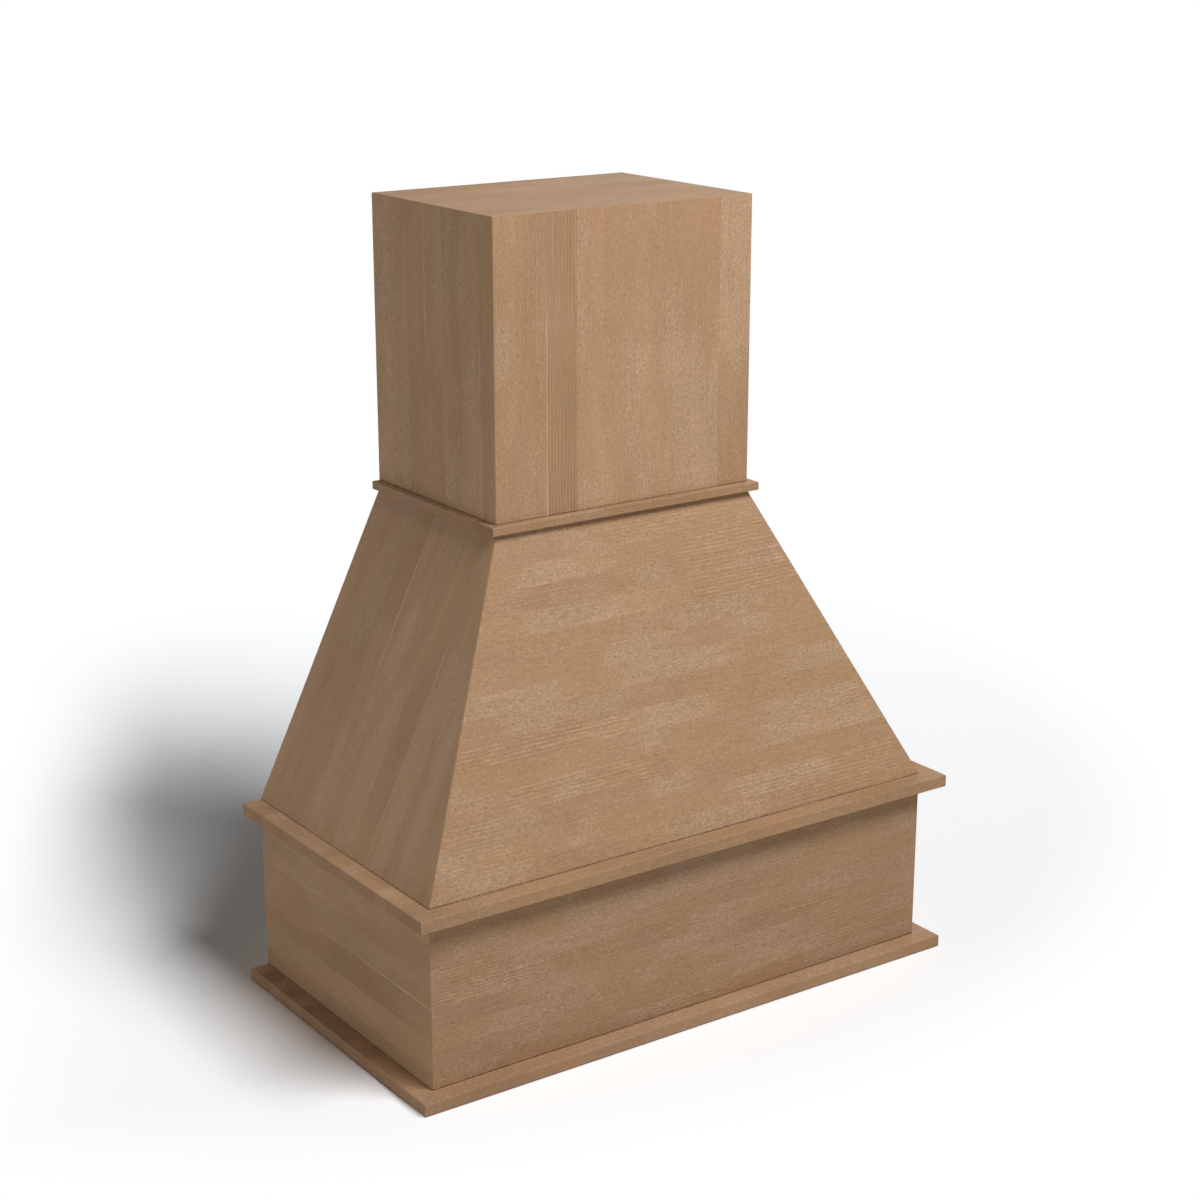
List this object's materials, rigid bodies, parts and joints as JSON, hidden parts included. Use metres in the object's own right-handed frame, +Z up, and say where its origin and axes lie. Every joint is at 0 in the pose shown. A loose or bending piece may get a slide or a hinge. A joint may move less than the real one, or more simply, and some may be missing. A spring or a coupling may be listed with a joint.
{
  "type": "wooden range hood cover",
  "caption": "Wall-mounted wooden cover for a kitchen range hood: an apron between two overhanging boards, a tapered canopy, a collar and a box chimney with an open back.",
  "frame": {"origin": "middle of the footprint, on the underside of the base board, which is the plane it stands on in the picture", "axes": "+Z up, the front faces -Y, the open back lies on the wall plane at +Y, +X is the hood's right side seen from the front"},
  "size_m": [0.9144, 0.5016, 1.143],
  "materials": {
    "alder_panel": "edge-glued light brown hardwood, sanded and sealed matt",
    "poplar_batten": "planed and left bare",
    "zinc_plated_steel": "yellow zinc plating"
  },
  "bodies": {
    "root": {"apron_corner_block_left": "poplar_batten", "apron_corner_block_right": "poplar_batten", "apron_front_panel": "alder_panel", "apron_head_cleat_front": "poplar_batten", "apron_head_cleat_left": "poplar_batten", "apron_head_cleat_right": "poplar_batten", "apron_left_panel": "alder_panel", "apron_rail": "poplar_batten", "apron_rail_screw_left_lower": "zinc_plated_steel", "apron_rail_screw_left_upper": "zinc_plated_steel", "apron_rail_screw_right_lower": "zinc_plated_steel", "apron_rail_screw_right_upper": "zinc_plated_steel", "apron_rear_block_left": "poplar_batten", "apron_rear_block_right": "poplar_batten", "apron_right_panel": "alder_panel", "base_board": "alder_panel", "canopy_corner_block_left": "poplar_batten", "canopy_corner_block_right": "poplar_batten", "canopy_foot_cleat_front": "poplar_batten", "canopy_foot_cleat_left": "poplar_batten", "canopy_foot_cleat_right": "poplar_batten", "canopy_front_panel": "alder_panel", "canopy_head_cleat_front": "poplar_batten", "canopy_head_cleat_left": "poplar_batten", "canopy_head_cleat_right": "poplar_batten", "canopy_left_panel": "alder_panel", "canopy_rail": "poplar_batten", "canopy_rail_screw_left_lower": "zinc_plated_steel", "canopy_rail_screw_left_upper": "zinc_plated_steel", "canopy_rail_screw_right_lower": "zinc_plated_steel", "canopy_rail_screw_right_upper": "zinc_plated_steel", "canopy_rear_block_left": "poplar_batten", "canopy_rear_block_right": "poplar_batten", "canopy_right_panel": "alder_panel", "chimney_corner_block_left": "poplar_batten", "chimney_corner_block_right": "poplar_batten", "chimney_foot_cleat_front": "poplar_batten", "chimney_foot_cleat_left": "poplar_batten", "chimney_foot_cleat_right": "poplar_batten", "chimney_front_panel": "alder_panel", "chimney_head_cleat_left": "poplar_batten", "chimney_head_cleat_right": "poplar_batten", "chimney_left_panel": "alder_panel", "chimney_rear_block_left": "poplar_batten", "chimney_rear_block_right": "poplar_batten", "chimney_right_panel": "alder_panel", "chimney_top_panel": "alder_panel", "collar_board": "alder_panel", "hanging_rail": "poplar_batten", "hanging_rail_screw_left_lower": "zinc_plated_steel", "hanging_rail_screw_left_upper": "zinc_plated_steel", "hanging_rail_screw_right_lower": "zinc_plated_steel", "hanging_rail_screw_right_upper": "zinc_plated_steel", "insert_rail_back": "poplar_batten", "insert_rail_front": "poplar_batten", "insert_rail_left": "poplar_batten", "insert_rail_right": "poplar_batten", "shelf_board": "alder_panel", "wall_cleat": "poplar_batten"}
  },
  "joints": []
}
